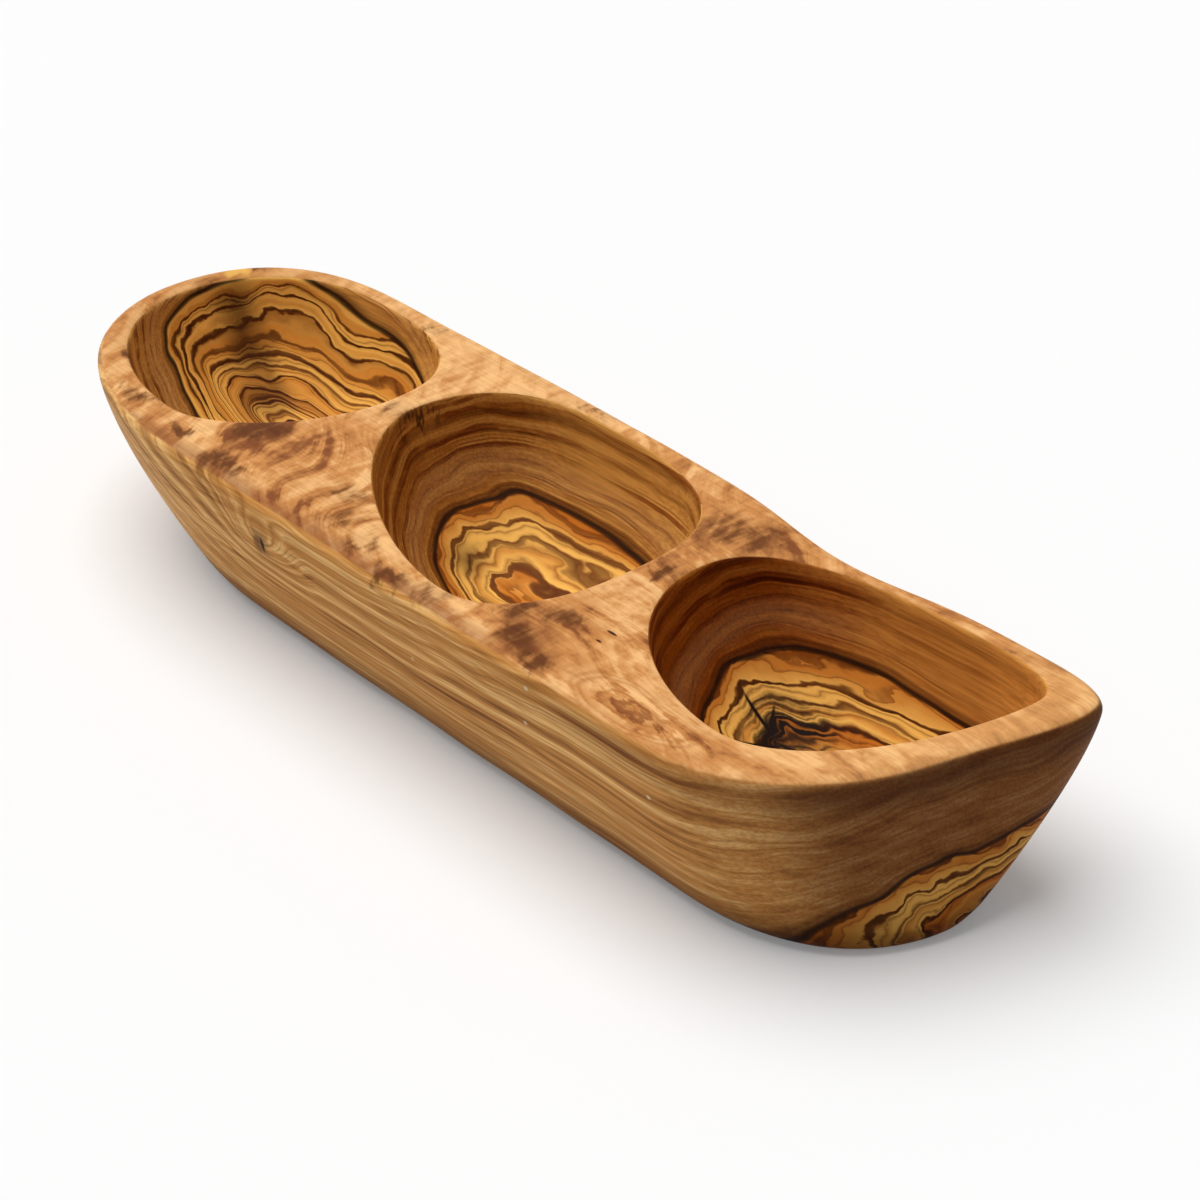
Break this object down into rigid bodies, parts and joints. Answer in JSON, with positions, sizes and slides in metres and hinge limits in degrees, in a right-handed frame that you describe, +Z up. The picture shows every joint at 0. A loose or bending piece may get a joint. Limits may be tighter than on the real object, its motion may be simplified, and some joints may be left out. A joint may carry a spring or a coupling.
{
  "type": "divided serving tray",
  "caption": "Long boat-shaped wooden tray carved from one block, with round-bottomed bowls side by side along its top for olives, nuts or dips.",
  "frame": {"origin": "on the surface that the tray stands on, under the middle of its overall box", "axes": "+X along the block from the round nose to the blunt end, +Y from the front side to the back side, +Z up out of the bowls"},
  "size_m": [0.3219, 0.1, 0.05],
  "materials": {
    "olive_wood": "sanded and oiled, satin, with strong figure"
  },
  "bodies": {
    "root": {"tray_block": "olive_wood"}
  },
  "joints": []
}
